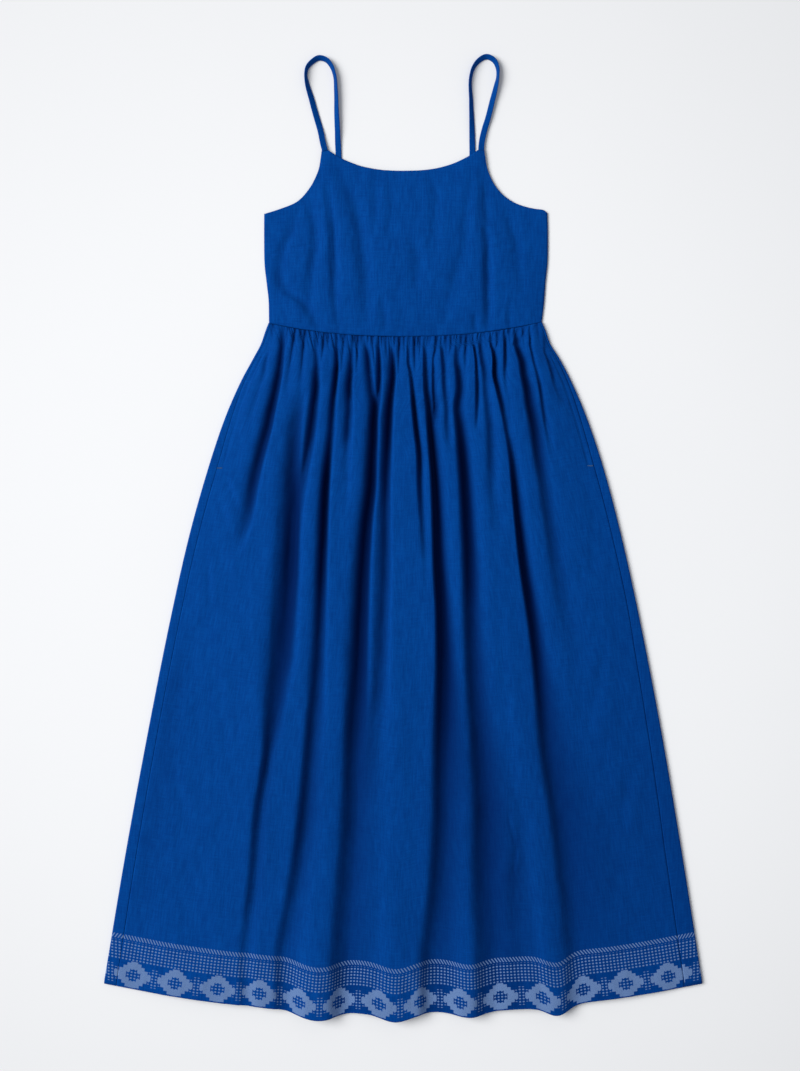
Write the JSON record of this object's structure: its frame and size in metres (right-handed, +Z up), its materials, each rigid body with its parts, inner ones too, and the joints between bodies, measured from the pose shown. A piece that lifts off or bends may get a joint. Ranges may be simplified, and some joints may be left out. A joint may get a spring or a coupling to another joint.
{
  "type": "midi dress, laid flat",
  "caption": "Sleeveless linen midi dress with thin straps, gathered waist and woven border at the hem, laid flat front up.",
  "frame": {"origin": "middle of the laid-out dress's footprint, on the surface that it lies on", "axes": "+X across the dress, to the right seen from above, +Y from the hem towards the straps, +Z up off the surface"},
  "size_m": [0.807, 1.3012, 0.0218],
  "materials": {
    "linen_front": "washed plain-weave linen, deep blue, with a paler woven border at the hem",
    "linen_back": "washed plain-weave linen, deep blue",
    "linen_strap": "turned and pressed linen tube, deep blue",
    "linen_pocket": "plain linen, deep blue"
  },
  "bodies": {
    "root": {"bodice_front": "linen_front", "bodice_back": "linen_back", "strap_left": "linen_strap", "strap_right": "linen_strap", "skirt_front": "linen_front", "skirt_back": "linen_back", "pocket_left": "linen_pocket", "pocket_right": "linen_pocket"}
  },
  "joints": []
}
